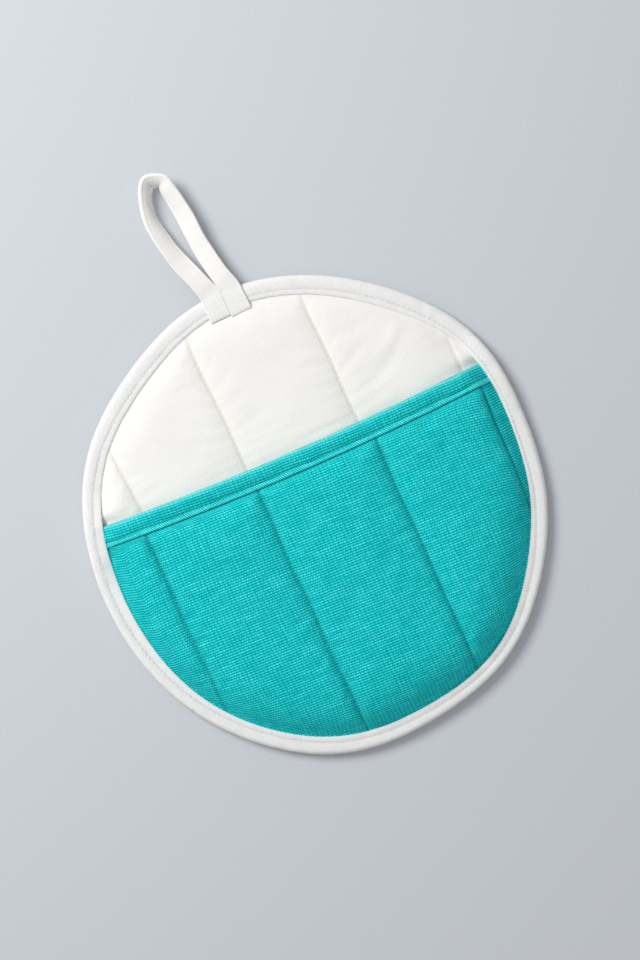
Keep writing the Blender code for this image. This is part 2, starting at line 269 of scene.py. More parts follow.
def stack_top(x, y, climb):
    """The top of the layers that the tape closes over, which climbs onto the strip."""
    before, after = climb
    disc = rim_lift(x, y) + pinched(x, y)
    body = disc + PANEL_GAP + POCKET_PINCHED
    strip = body + 2 * STRIP_ROOM
    below = below_mouth(x, y)
    onto_strip = ease(below, -before, CLIMB_END)
    off_strip = ease(below, STRIP_WIDTH + CLIMB_END, STRIP_WIDTH + after)
    return disc + (strip - disc) * onto_strip - (strip - body) * off_strip


def corner_swell(x, y):
    """The disc stands up beside the tape where the tape climbs onto the strip."""
    near = 1 - ease(past_tape(x, y), 0.0, CORNER_REACH)
    free = 1 - ease(below_mouth(x, y), *CORNER_FADE)
    step = stack_top(x, y, EDGE_CLIMB) - stack_top(x, y, LAYER_CLIMB)
    return CORNER_SHARE * step * near * free


def lumps(x, y, size, seed):
    """A smooth uneven surface between about -1 and 1 whose lumps are about size across."""
    draw = np.random.default_rng(seed)
    total = 0.0
    for _ in range(10):
        heading, phase = draw.uniform(0, 2 * math.pi, 2)
        wave = size * draw.uniform(0.7, 1.6)
        along = x * math.cos(heading) + y * math.sin(heading)
        total = total + np.sin(2 * math.pi * along / wave + phase)
    return total / 4


def wrinkle(x, y, at, heading, length, width):
    """One soft ridge, 1 at its middle."""
    c, s = math.cos(math.radians(heading)), math.sin(math.radians(heading))
    along = (x - at[0]) * c + (y - at[1]) * s
    across = (y - at[1]) * c - (x - at[0]) * s
    bend = across - along ** 2 / (length * 5)
    return np.exp(-(along / length) ** 2 - (bend / width) ** 2)


def back_bottom(x, y):
    full = from_tape(x, y)
    dip = 1 - back_fullness(x, y)
    return rim_lift(x, y) * (1 - full) + BACK_SEAM_LIFT * dip * full


def back_top(x, y):
    seam = BACK_SEAM + (BACK_LOFT - BACK_SEAM) * back_fullness(x, y)
    thin = pinched(x, y)
    return back_bottom(x, y) + thin + (seam - thin) * from_tape(x, y) + corner_swell(x, y)


def strip_zone(x, y):
    return 1 - ease(below_mouth(x, y), STRIP_WIDTH, STRIP_WIDTH + STRIP_ROOM_EASE)


def pocket_bottom(x, y):
    full = from_tape(x, y)
    strip = strip_zone(x, y)
    thin = pinched(x, y)
    back = rim_lift(x, y) * (1 - full) + thin + (BACK_LOFT - thin) * full
    air = PANEL_GAP + POCKET_AIR * rise(past_tape(x, y) - RIM_FLAT, POCKET_RISE)
    dip = 1 - pocket_fullness(x, y)
    return back + air + STRIP_ROOM * strip + POCKET_SEAM_LIFT * dip * full * (1 - strip)


def pocket_top(x, y):
    below_strip = rise(below_mouth(x, y) - STRIP_WIDTH - LAYER_GAP, STRIP_FOOT)
    beyond = x - line_x(POCKET_QUILTING[-1], y)
    on_brink = (beyond < 0) & (beyond > -BRINK_WIDTH)
    pillow = np.maximum(pocket_fullness(x, y), np.where(on_brink, rise(-beyond, BRINK_RISE), 0.0))
    pillow = pillow * (1 - LAST_PILLOW_SLACK * ease(beyond, 0.0, LAST_PILLOW_STEP))
    seam = POCKET_SEAM - LAST_SEAM_DIP * np.exp(-(beyond / LAST_SEAM_SPREAD) ** 2)
    seam = seam + (POCKET_LOFT - POCKET_SEAM) * pillow
    reach = POCKET_RIM_SHOULDER - LAST_RIM_CUT * np.exp(-(beyond / LAST_RIM_SPREAD) ** 2)
    full = rise(past_tape(x, y) - POCKET_RIM_FLAT, reach) * below_strip
    return pocket_bottom(x, y) + POCKET_PINCHED + (seam - POCKET_PINCHED) * full


# Panels as lattices

def columns(lines, half):
    """Places across a panel as (stop, share towards the next stop), crowded at the seams."""
    stops = [(-half, 0.0), *lines, (half, 0.0)]
    places = []
    seams = []
    for k, (here, after) in enumerate(zip(stops, stops[1:])):
        count = 2 * max(2, round((after[0] - here[0]) / (2 * CELL)))
        shares = np.arange(count) / count
        shares = shares - 0.30 * np.sin(2 * math.pi * shares) / (2 * math.pi)
        seams.append(len(places))
        places += [(k, share) for share in shares]
    places.append((len(stops) - 2, 1.0))
    return stops, places, seams[1:]


def stretch_across(stops, places, y):
    """x of every column at the rows' y, for a plane of (row, column)."""
    edges = [line_x(stop, y) if 0 < k < len(stops) - 1 else stop[0] + 0 * y
             for k, stop in enumerate(stops)]
    x = np.empty_like(y)
    for column, (k, share) in enumerate(places):
        here, after = edges[k][:, column], edges[k + 1][:, column]
        x[:, column] = here + (after - here) * share
    return x


def back_lattice():
    stops, places, seams = columns(BACK_QUILTING, LATTICE_HALF)
    rows = np.linspace(-LATTICE_HALF, LATTICE_HALF, 2 * round(LATTICE_HALF / CELL) + 1)
    y = np.repeat(rows[:, None], len(places), axis=1)
    return stretch_across(stops, places, y), y, seams


def pocket_lattice():
    """Rows run at constant depths below the mouth, one of them along the strip's lower edge."""
    stops, places, seams = columns(POCKET_QUILTING, LATTICE_HALF)
    pitch = (STRIP_WIDTH + LAYER_GAP - STRIP_ROOM) / STRIP_ROWS
    rows = 2 * round(POCKET_LATTICE_DEPTH / (2 * pitch))
    depth = np.repeat((STRIP_ROOM + pitch * np.arange(rows + 1))[:, None], len(places), axis=1)
    y = MOUTH_Y - depth
    for _ in range(5):
        x = stretch_across(stops, places, y)
        y = mouth_y(x) - depth
    return x, y, seams


def trim_to_rim(x, y):
    """Keeps the cells inside the panel's edge and pulls the outermost points onto it."""
    middle_x = (x[1:, 1:] + x[:-1, :-1]) / 2
    middle_y = (y[1:, 1:] + y[:-1, :-1]) / 2
    kept = from_rim(middle_x, middle_y) > PANEL_EDGE
    around = np.zeros(x.shape, int)
    for dy in (0, 1):
        for dx in (0, 1):
            around[dy:dy + kept.shape[0], dx:dx + kept.shape[1]] += kept
    near = np.abs(from_rim(x, y) - PANEL_EDGE) < 1.6 * CELL
    loose = (around > 0) & (around < 4) & near
    radius = rim_radius(np.arctan2(y, x)) - PANEL_EDGE
    pull = np.where(loose, radius / np.hypot(x, y), 1.0)
    return x * pull, y * pull, kept, around > 0


def cloth_lengths(x, y, z):
    """Lengths along the cloth from its middle, so that the weave follows the pillows."""
    across = np.hypot(np.diff(x, axis=1), np.diff(z, axis=1))
    across = np.concatenate([np.zeros((len(x), 1)), np.cumsum(across, axis=1)], axis=1)
    middle = x.shape[1] // 2
    across = across - across[:, middle:middle + 1] + x[:, middle:middle + 1]
    down = np.hypot(np.diff(y, axis=0), np.diff(z, axis=0)) * np.sign(np.diff(y, axis=0))
    down = np.concatenate([np.zeros((1, x.shape[1])), np.cumsum(down, axis=0)], axis=0)
    half = len(x) // 2
    down = down - down[half:half + 1] + y[half:half + 1]
    return np.stack([across, down, 0 * z], axis=-1)


def kept_faces(kept, used):
    number = np.full(used.shape, -1)
    number[used] = np.arange(used.sum())
    a, b = number[:-1, :-1][kept], number[:-1, 1:][kept]
    c, d = number[1:, 1:][kept], number[1:, :-1][kept]
    return np.stack([a, b, c, d], axis=-1)


def facing_up(x, y, faces, used):
    """The faces turned so that they look up."""
    px, py = x[used], y[used]
    a, b, c, d = (faces[:, k] for k in range(4))
    area = (px[c] - px[a]) * (py[d] - py[b]) - (px[d] - px[b]) * (py[c] - py[a])
    return faces[:, ::-1] if area.mean() < 0 else faces


def slab_faces(faces, count):
    """Faces of a closed slab: the upper sheet, the lower sheet and the wall between them."""
    sides = np.concatenate([faces[:, [k, (k + 1) % 4]] for k in range(4)])
    code = sides[:, 0] * count + sides[:, 1]
    mate = sides[:, 1] * count + sides[:, 0]
    open_sides = sides[~np.isin(code, mate)]
    a, b = open_sides[:, 0], open_sides[:, 1]
    wall = np.stack([b, a, a + count, b + count], axis=-1)
    return np.concatenate([faces, faces[:, ::-1] + count, wall])


# Making pieces

def new_mesh(name, vertices, faces):
    mesh = bpy.data.meshes.new(name)
    mesh.from_pydata(np.asarray(vertices).tolist(), [], np.asarray(faces).tolist())
    mesh.validate()
    return mesh


def mark(mesh, name, values, domain="POINT"):
    """Writes lengths along the cloth (three values a point) or a mask (one) onto a mesh."""
    values = np.asarray(values, np.float32)
    kind, key = ("FLOAT_VECTOR", "vector") if values.ndim == 2 else ("FLOAT", "value")
    layer = mesh.attributes.new(name, kind, domain)
    layer.data.foreach_set(key, values.ravel())


def placed(name, data):
    """An object in the scene."""
    made = bpy.data.objects.new(name, data)
    bpy.context.scene.collection.objects.link(made)
    return made


def new_piece(name, mesh, finish, nodes=()):
    piece = placed(name, mesh)
    mesh.materials.append(finish)
    mesh.shade_smooth()
    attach(piece, "root")
    if nodes:
        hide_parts(*nodes)
    return piece


def slab(name, panel, upper, lower, finish, nodes, lines=()):
    """One layer of a panel between two planes of heights, marked along its seams for painted
    crease shade.
    """
    x, y, kept, used = panel
    faces = facing_up(x, y, kept_faces(kept, used), used)
    cut = cloth_lengths(x, y, upper)[used]
    top = np.stack([x[used], y[used], upper[used]], axis=-1)
    under = np.stack([x[used], y[used], lower[used]], axis=-1)
    mesh = new_mesh(name, np.concatenate([top, under]), slab_faces(faces, len(top)))
    mark(mesh, "cut", np.concatenate([cut, cut]))
    if lines:
        sewn = np.exp(-(from_seam(x, y, lines) / SEWN_MARK) ** 2)[used]
        mark(mesh, "sewn", np.concatenate([sewn, sewn]))
    return new_piece(name, mesh, finish, nodes)


def every_other(panel, roomy=None):
    """The same panel cut half as finely, and only where there is room."""
    x, y, kept, _ = panel
    whole = kept[::2, ::2] & kept[1::2, ::2] & kept[::2, 1::2] & kept[1::2, 1::2]
    if roomy is not None:
        whole = whole & roomy[:-1, :-1] & roomy[1:, :-1] & roomy[:-1, 1:] & roomy[1:, 1:]
    used = np.zeros(x[::2, ::2].shape, bool)
    for dy in (0, 1):
        for dx in (0, 1):
            used[dy:dy + whole.shape[0], dx:dx + whole.shape[1]] |= whole
    return x[::2, ::2], y[::2, ::2], whole, used


def lowest(plane):
    """The least height around every other point."""
    wide = np.pad(plane, 2, mode="edge")
    high, across = plane.shape
    near = [wide[dy:dy + high, dx:dx + across] for dy in range(5) for dx in range(5)]
    return np.min(near, axis=0)[::2, ::2]


def wadding_slab(name, panel, top, low, node):
    """The filling between two cloths, clear of both."""
    upper = lowest(top - CLOTH - LAYER_GAP)
    lower = -lowest(-low - CLOTH - LAYER_GAP)
    pad = slab(name, every_other(panel, upper - lower > 0.0003), upper, lower, WADDING,
               [node])


# Blowing up the pads

SIM_SCALE = 12.0
SIM_FRAMES = 20
SIM_PRESSURE = 2.2
SIM_SHRINK = -0.012

# What is kept of each sheet's moves: the share of the swelling, of the wrinkles, and the cap
FACE_PUFF = (0.20, 0.45, 0.0018)
UNDERSIDE_PUFF = (0.20, 0.45, 0.0010)
POCKET_PUFF = (0.20, 0.80, 0.0018)
LINING_PUFF = (0.15, 0.50, 0.0006)


def puffed(panel, upper, lower, held):
    """How the filling pushes out both sheets of a pad: two planes of vertical moves."""
    x, y, kept, used = every_other(panel)
    start_top, start_low = upper[::2, ::2], lower[::2, ::2]
    faces = facing_up(x, y, kept_faces(kept, used), used)
    top = np.stack([x[used], y[used], start_top[used]], axis=-1)
    low = np.stack([x[used], y[used], start_low[used]], axis=-1)
    count = len(top)
    mesh = new_mesh("pad", np.concatenate([top, low]) * SIM_SCALE, slab_faces(faces, count))
    pad = placed("pad", mesh)
    group = pad.vertex_groups.new(name="sewn")
    sewn = np.flatnonzero(held[::2, ::2][used])
    group.add([int(v) for v in sewn] + [int(v) + count for v in sewn], 1.0, "REPLACE")
    cloth = pad.modifiers.new("filling", "CLOTH")
    settings = cloth.settings
    settings.quality = 5
    settings.mass = 0.3
    settings.tension_stiffness = 12
    settings.compression_stiffness = 12
    settings.shear_stiffness = 4
    settings.bending_stiffness = 0.6
    settings.use_pressure = True
    settings.uniform_pressure_force = SIM_PRESSURE
    settings.shrink_min = SIM_SHRINK
    settings.vertex_group_mass = "sewn"
    settings.effector_weights.gravity = 0
    cloth.collision_settings.use_collision = False
    scene = bpy.context.scene
    for step in range(1, SIM_FRAMES + 1):
        scene.frame_set(step)
    blown = pad.evaluated_get(bpy.context.evaluated_depsgraph_get())
    after = np.empty(count * 6, np.float32)
    blown.data.vertices.foreach_get("co", after)
    after = after.reshape(-1, 3) / SIM_SCALE
    scene.frame_set(1)
    bpy.data.objects.remove(pad)
    bpy.data.meshes.remove(mesh)
    moves = []
    for part, start in ((after[:count, 2], start_top), (after[count:, 2], start_low)):
        coarse = np.zeros_like(start)
        coarse[used] = part - start[used]
        moves.append(finer(coarse, upper.shape))
    return moves


def finer(coarse, shape):
    """A plane of values on every other point, filled in on all points."""
    full = np.zeros(shape)
    full[::2, ::2] = coarse
    full[1::2, ::2] = (coarse[:-1] + coarse[1:]) / 2
    full[:, 1::2] = (full[:, :-1:2] + full[:, 2::2]) / 2
    return full


def blurred(plane, times):
    for _ in range(times):
        wide = np.pad(plane, 1, mode="edge")
        plane = (
            wide[1:-1, 1:-1] * 2 + wide[:-2, 1:-1] + wide[2:, 1:-1]
            + wide[1:-1, :-2] + wide[1:-1, 2:]
        ) / 6
    return plane


def settled(move, puff):
    """The even swelling and the wrinkles, each taken down to a share, and both capped."""
    swell, ripple, cap = puff
    even = blurred(move, 40)
    return np.clip(swell * even + ripple * (move - even), -cap, cap)


# Swept tapes and thread

def smooth_path(points, steps):
    """Points of a smooth curve through a row of points of any dimension."""
    points = np.asarray(points, float)
    padded = np.concatenate([points[:1], points, points[-1:]])
    a, b, c, d = padded[:-3], padded[1:-2], padded[2:-1], padded[3:]
    t = (np.arange(steps) / steps)[None, :, None]
    a, b, c, d = (p[:, None] for p in (a, b, c, d))
    curve = 0.5 * (2 * b + (c - a) * t + (2 * a - 5 * b + 4 * c - d) * t ** 2
                   + (3 * b - a - 3 * c + d) * t ** 3)
    return np.concatenate([curve.reshape(-1, points.shape[1]), points[-1:]])


def swept_faces(stations, size, closed):
    """Faces over a plane of (station, point), each section being a closed ring."""
    near = np.arange(stations if closed else stations - 1)[:, None]
    far = (near + 1) % stations
    a = np.arange(size)[None, :]
    b = (a + 1) % size
    faces = np.stack([near * size + a, near * size + b, far * size + b, far * size + a], axis=-1)
    return faces.reshape(-1, 4).tolist()


def swept(name, sections, closed, cut, whole, masks, finish, nodes=()):
    """A closed body through a plane of sections. whole is the cut's length round and across."""
    stations, size, _ = sections.shape
    faces = swept_faces(stations, size, closed)
    if not closed:
        faces += [list(reversed(range(size))), list(range((stations - 1) * size, stations * size))]
    mesh = bpy.data.meshes.new(name)
    mesh.from_pydata(sections.reshape(-1, 3).tolist(), [], faces)
    turn_outward(mesh)
    mark(mesh, "cut", corner_lengths(mesh, cut.reshape(-1, 3), stations, size, whole), "CORNER")
    for label, mask in masks.items():
        mark(mesh, label, mask.ravel())
    return new_piece(name, mesh, finish, nodes)


def cut_grid(along, across):
    """Lengths along and across a tape for a plane of (station, point)."""
    grid = np.zeros((len(along), len(across), 3))
    grid[..., 0] = along[:, None]
    grid[..., 1] = across
    return grid


def corner_lengths(mesh, cut, stations, size, whole):
    """The cut at every face corner. Faces that close a ring run on past its whole length."""
    point = np.empty(len(mesh.loops), np.int32)
    mesh.loops.foreach_get("vertex_index", point)
    face = np.arange(len(point)) // 4
    values = cut[point]
    on_side = face < stations * size
    values[on_side & (face // size == stations - 1) & (point < size), 0] += whole[0]
    values[on_side & (face % size == size - 1) & (point % size == 0), 1] += whole[1]
    return values


def turn_outward(mesh):
    """Flips a closed mesh whose faces look inward."""
    mesh.calc_loop_triangles()
    spots = np.empty(len(mesh.vertices) * 3, np.float32)
    mesh.vertices.foreach_get("co", spots)
    spots = spots.reshape(-1, 3).astype(float)
    corners = np.empty(len(mesh.loop_triangles) * 3, np.int32)
    mesh.loop_triangles.foreach_get("vertices", corners)
    a, b, c = (spots[corners[k::3]] for k in range(3))
    volume = np.einsum("ij,ij->i", a, np.cross(b, c)).sum()
    if volume < 0:
        mesh.flip_normals()


def lengths_along(points):
    steps = np.linalg.norm(np.diff(points, axis=0), axis=1)
    return np.concatenate([[0.0], np.cumsum(steps)])


def stitches(name, runs, finish, length=STITCH_LENGTH, pitch=STITCH_PITCH, sink=0.0):
    """Rows of short thread loops lying along the given runs of points."""
    vertices, faces, cut = [], [], []
    ring = 6
    stages = ((-0.5, 0.15), (-0.42, 0.75), (-0.15, 1.0), (0.15, 1.0), (0.42, 0.75), (0.5, 0.15))
    for points in runs:
        points = np.asarray(points, float)
        along = lengths_along(points)
        for middle in np.arange(pitch / 2, along[-1], pitch):
            start = len(vertices)
            reached = [middle + share * length for share, _ in stages]
            spots = np.stack([np.interp(reached, along, points[:, k]) for k in range(3)], axis=-1)
            heading = spots[-1] - spots[0]
            heading = heading / max(np.linalg.norm(heading), 1e-9)
            side = np.cross(heading, (0.0, 0.0, 1.0))
            side = side / max(np.linalg.norm(side), 1e-9)
            above = np.cross(side, heading)
            for (share, size), spot in zip(stages, spots):
                arch = above * (THREAD * 0.55 * (1 - (2 * share) ** 2) - sink)
                for k in range(ring):
                    turn = 2 * math.pi * k / ring
                    off = side * math.cos(turn) + above * math.sin(turn)
                    vertices.append(tuple(spot + arch + off * THREAD / 2 * size))
                    cut.append((middle + share * length, turn * THREAD / 2, 0.0))
            for s in range(len(stages) - 1):
                for k in range(ring):
                    a, b = start + s * ring + k, start + s * ring + (k + 1) % ring
                    faces.append((a, b, b + ring, a + ring))
            faces.append(tuple(start + k for k in reversed(range(ring))))
            faces.append(tuple(start + (len(stages) - 1) * ring + k for k in range(ring)))
    mesh = bpy.data.meshes.new(name)
    mesh.from_pydata(vertices, [], faces)
    mark(mesh, "cut", cut)
    turn_outward(mesh)
    return new_piece(name, mesh, finish)


# Node helpers

class Nodes:
    """Shorthand for adding nodes to one tree."""

    def __init__(self, tree):
        self.tree = tree

    def add(self, kind, inputs=None, **settings):
        node = self.tree.nodes.new(kind)
        for key, value in settings.items():
            setattr(node, key, value)
        for key, value in (inputs or {}).items():
            self.feed(node.inputs[key], value)
        return node

    def feed(self, socket, value):
        if isinstance(value, bpy.types.NodeSocket):
            self.tree.links.new(value, socket)
        else:
            socket.default_value = value

    def math(self, operation, *values, clamp=False):
        node = self.add("ShaderNodeMath", operation=operation, use_clamp=clamp)
        for socket, value in zip(node.inputs, values):
            self.feed(socket, value)
        return node.outputs[0]

    def plus(self, first, second):
        return self.math("ADD", first, second)

    def minus(self, first, second):
        return self.math("SUBTRACT", first, second)

    def times(self, first, second):
        return self.math("MULTIPLY", first, second)

    def over(self, first, second):
        return self.math("DIVIDE", first, second)

    def round_yarns(self, count):
        """Round tops, one for each whole number."""
        return self.math("ABSOLUTE", self.math("SINE", self.times(count, math.pi)))

    def mask(self, name, output="Fac"):
        return self.add("ShaderNodeAttribute", attribute_name=name).outputs[output]

    def bump(self, height, depth, strength=1.0, below=None):
        inputs = {"Strength": strength, "Distance": depth, "Height": height}
        if below is not None:
            inputs["Normal"] = below
        return self.add("ShaderNodeBump", inputs).outputs["Normal"]

    def noise(self, vector, scale, detail=2.0, roughness=0.5):
        node = self.add(
            "ShaderNodeTexNoise",
            {"Vector": vector, "Scale": scale, "Detail": detail, "Roughness": roughness},
        )
        return node.outputs["Fac"]

    def between(self, value, low, high, start=0.0, end=1.0):
        node = self.add(
            "ShaderNodeMapRange",
            {"Value": value, "From Min": low, "From Max": high, "To Min": start, "To Max": end},
            clamp=True,
        )
        return node.outputs["Result"]

    def blend(self, share, first, second, kind="MIX"):
        node = self.add("ShaderNodeMix", data_type="RGBA", blend_type=kind)
        self.feed(node.inputs[0], share)
        self.feed(node.inputs[6], first)
        self.feed(node.inputs[7], second)
        return node.outputs[2]

    def split(self, vector):
        node = self.add("ShaderNodeSeparateXYZ", {"Vector": vector})
        return node.outputs

    def join(self, x, y, z=0.0):
        return self.add("ShaderNodeCombineXYZ", {"X": x, "Y": y, "Z": z}).outputs[0]

    def group(self, tree, **inputs):
        node = self.add("ShaderNodeGroup", node_tree=tree)
        for key, value in inputs.items():
            self.feed(node.inputs[key.replace("_", " ").capitalize()], value)
        return node.outputs


def new_group(name, inputs, outputs):
    """An empty shader group: inputs and outputs are (name, socket type, default)."""
    tree = bpy.data.node_groups.new(name, "ShaderNodeTree")
    for label, kind, default in inputs:
        socket = tree.interface.new_socket(label, in_out="INPUT", socket_type=kind)
        if default is not None:
            socket.default_value = default
    for label, kind in outputs:
        tree.interface.new_socket(label, in_out="OUTPUT", socket_type=kind)
    n = Nodes(tree)
    return tree, n, n.add("NodeGroupInput").outputs, n.add("NodeGroupOutput").inputs


FLOAT = "NodeSocketFloat"
VECTOR = "NodeSocketVector"

# The weave's lean, and how a yarn's tone steps to the next yarn and changes along its length
WEAVE_SKEW = 0.049
YARN_STEP = 3.7
YARN_SLUBS = 110.0
RIB_STEP = 2.3
RIB_SLUBS = 140.0


def blended(n, share, first, second):
    return n.plus(n.times(n.minus(1.0, share), first), n.times(share, second))


def plain_weave_group():
    """Warp and weft yarns that pass over and under each other, with slubs and uneven spacing."""
    tree, n, given, made = new_group(
        "plain weave",
        (("Cut", VECTOR, None), ("Warp pitch", FLOAT, 0.00065), ("Weft pitch", FLOAT, 0.00122),
         ("Wander", FLOAT, 0.00034), ("Third", FLOAT, 0.5)),
        (("Height", FLOAT), ("Gap", FLOAT), ("Tone", FLOAT)),
    )
    x, straight, _ = n.split(given["Cut"])
    y = n.plus(straight, n.times(x, WEAVE_SKEW))
    drift_x = n.times(n.minus(n.noise(given["Cut"], 240.0), 0.5), given["Wander"])
    drift_y = n.times(n.minus(n.noise(given["Cut"], 170.0), 0.5), given["Wander"])
    u = n.over(n.plus(x, drift_x), given["Warp pitch"])
    v = n.over(n.plus(y, drift_y), given["Weft pitch"])
    warp_number, weft_number = n.math("FLOOR", u), n.math("FLOOR", v)
    round_warp, round_weft = n.round_yarns(u), n.round_yarns(v)

    def crossing(along, number, start):
        turn = n.times(n.plus(n.minus(along, 0.5), number), math.pi)
        return n.plus(n.times(n.math("COSINE", turn), 0.5 * start), 0.5)

    warp = n.times(round_warp, crossing(v, warp_number, 1))
    weft = n.times(round_weft, crossing(u, weft_number, -1))
    third = n.round_yarns(n.over(u, 3.0))
    sunk = n.times(n.between(third, 0.0, 0.55, 1.0, 0.0), given["Third"])
    high = n.math("MAXIMUM", n.times(warp, 0.80), weft)
    height = n.times(high, n.minus(1.0, sunk))
    n.feed(made["Height"], height)
    # Gap marks the hollows between yarns, which the materials fill with painted shade
    n.feed(made["Gap"], n.between(height, 0.10, 0.60, 1.0, 0.0))
    warp_place = n.join(n.times(warp_number, YARN_STEP), n.times(y, YARN_SLUBS))
    weft_place = n.join(n.times(x, YARN_SLUBS), n.times(weft_number, YARN_STEP), 9.0)
    on_top = n.math("GREATER_THAN", warp, weft)
    n.feed(made["Tone"], blended(n, on_top, n.noise(weft_place, 1.0), n.noise(warp_place, 1.0)))
    return tree


def ribbed_weave_group():
    """Fine ribs across a tape, crossed by a flat weft."""
    tree, n, given, made = new_group(
        "ribbed weave",
        (("Cut", VECTOR, None), ("Rib pitch", FLOAT, RIB_PITCH), ("Weft pitch", FLOAT, 0.0008)),
        (("Height", FLOAT), ("Gap", FLOAT), ("Tone", FLOAT)),
    )
    x, y, _ = n.split(given["Cut"])
    drift = n.times(n.minus(n.noise(given["Cut"], 260.0), 0.5), 0.0004)
    u = n.over(n.plus(x, drift), given["Rib pitch"])
    rib, weft = n.round_yarns(u), n.round_yarns(n.over(y, given["Weft pitch"]))
    n.feed(made["Height"], n.plus(n.times(rib, 0.75), n.times(weft, 0.25)))
    # Gap marks the hollows between ribs, which the tape fills with painted shade
    n.feed(made["Gap"], n.between(rib, 0.0, 0.55, 1.0, 0.0))
    place = n.join(n.times(n.math("FLOOR", u), RIB_STEP), n.times(y, RIB_SLUBS))
    n.feed(made["Tone"], n.noise(place, 1.0))
    return tree


def lint_group():
    """Soft lint on cotton: a fine fuzz for bump and a slow shift of shade."""
    tree, n, given, made = new_group(
        "lint",
        (("Cut", VECTOR, None), ("Fuzz size", FLOAT, 0.0005)),
        (("Fuzz", FLOAT), ("Shade", FLOAT)),
    )
    n.feed(made["Fuzz"], n.noise(given["Cut"], n.over(1.0, given["Fuzz size"]), 3.0))
    slow = n.noise(given["Cut"], 34.0, 3.0, 0.55)
    n.feed(made["Shade"], n.between(slow, 0.3, 0.7))
    return tree


def crease_shade_group():
    """Painted shade: a thin dark line in the crease where the cloth is marked as sewn."""
    tree, n, _, made = new_group("seam", (), (("Share", FLOAT),))
    n.feed(made["Share"], n.times(n.math("POWER", n.mask("sewn"), 2.0), 0.85))
    return tree


WEAVE = plain_weave_group()
RIBS = ribbed_weave_group()
LINT = lint_group()
CREASE_SHADE = crease_shade_group()


def new_material(name, roughness, sheen):
    made = bpy.data.materials.new(name)
    made.use_nodes = True
    n = Nodes(made.node_tree)
    shader = made.node_tree.nodes["Principled BSDF"]
    shader.inputs["Roughness"].default_value = roughness
    shader.inputs["Specular IOR Level"].default_value = 0.03
    shader.inputs["Sheen Weight"].default_value = sheen
    shader.inputs["Sheen Roughness"].default_value = 0.6
    return made, n, shader, n.mask("cut", "Vector")


def shaded(n, base, gap_shade, gap, tone, tone_reach, shade, shade_reach):
    """Yarn colour with painted shade in the gaps, varied from yarn to yarn and over the cloth."""
    colour = n.blend(gap, base, gap_shade)
    level = n.plus(n.between(tone, 0.25, 0.75, 1 - tone_reach, 1 + tone_reach),
                   n.between(shade, 0.0, 1.0, -shade_reach, shade_reach))
    return n.blend(1.0, colour, n.join(level, level, level), "MULTIPLY")


# Painted sheen: a lighter teal where the fuzz along the strip's fold catches the light
FOLD_SHEEN_TEAL = (0.30, 0.86, 0.86, 1)


def woven(name, colours, third, depth, tone_reach, roughness, sheen, fuzz_depth,
          shade_reach=0.012, cord_pitch=None):
    """Plain-woven cotton. Its colours are: yarn, painted highlight on raised yarns, painted shade
    in the gaps between yarns, painted shade in the sewn creases.
    """
    base, top_highlight, gap_shade, seam = colours
    made, n, shader, cut = new_material(name, roughness, sheen)
    weave = n.group(WEAVE, cut=cut, third=third)
    lint = n.group(LINT, cut=cut)
    gap, height = weave["Gap"], weave["Height"]
    if cord_pitch:
        x, y, _ = n.split(cut)
        dash = n.round_yarns(n.plus(n.over(x, cord_pitch), n.over(y, 1.6 * cord_pitch)))
        # Painted shade between the cord's dashes
        gap = blended(n, n.mask("cord"), gap, n.between(dash, 0.10, 0.75, 1.0, 0.0))
        height = blended(n, n.mask("cord"), height, dash)
    # Painted highlight: raised yarn tops, and some yarns at random, take the lighter colour
    lit = n.plus(height, n.times(n.minus(weave["Tone"], 0.5), 0.9))
    yarn = n.blend(n.between(lit, 0.55, 1.05), base, top_highlight)
    colour = shaded(n, yarn, gap_shade, gap, weave["Tone"], tone_reach, lint["Shade"], shade_reach)
    # Painted shade in the crease along the sewn lines
    colour = n.blend(n.group(CREASE_SHADE)["Share"], colour, seam)
    if cord_pitch:
        # Painted sheen along the strip's fold, where its fuzz catches the light
        sheen_share = n.times(n.group(LINT, cut=cut, fuzz_size=0.0009)["Fuzz"], n.mask("fold_sheen"))
        colour = n.blend(sheen_share, colour, FOLD_SHEEN_TEAL)
    n.feed(shader.inputs["Base Color"], colour)
    rough = n.between(height, 0.0, 1.0, min(roughness + 0.06, 1.0), roughness - 0.06)
    n.feed(shader.inputs["Roughness"], rough)
    n.feed(shader.inputs["Normal"], n.bump(lint["Fuzz"], fuzz_depth, 0.6, n.bump(height, depth)))
    return made


TAPE_FUZZ = 0.00016


def ribbed_tape(name, base, gap_shade, seam, rib_depth):
    """Cotton tape whose ribs show more in some places than in others, with painted shade between
    the ribs and in the sewn crease.
    """
    made, n, shader, cut = new_material(name, 0.88, 0.04)
    shader.inputs["Subsurface Weight"].default_value = 0.35
    shader.inputs["Subsurface Radius"].default_value = (0.0016, 0.0014, 0.0011)
    shader.inputs["Subsurface Scale"].default_value = 1.0
    ribs = n.group(RIBS, cut=cut)
    lint = n.group(LINT, cut=cut, fuzz_size=0.0006)
    gap = n.times(ribs["Gap"], n.between(lint["Shade"], 0.0, 1.0, 0.25, 0.85))
    colour = shaded(n, base, gap_shade, gap, ribs["Tone"], 0.02, lint["Shade"], 0.012)
    # Painted shade in the tape's sewn crease
    colour = n.blend(n.group(CREASE_SHADE)["Share"], colour, seam)
    n.feed(shader.inputs["Base Color"], colour)
    n.feed(shader.inputs["Roughness"], n.between(ribs["Height"], 0.0, 1.0, 0.92, 0.80))
    ribbed = n.bump(ribs["Height"], rib_depth)
    n.feed(shader.inputs["Normal"], n.bump(lint["Fuzz"], TAPE_FUZZ, 0.7, ribbed))
    return made


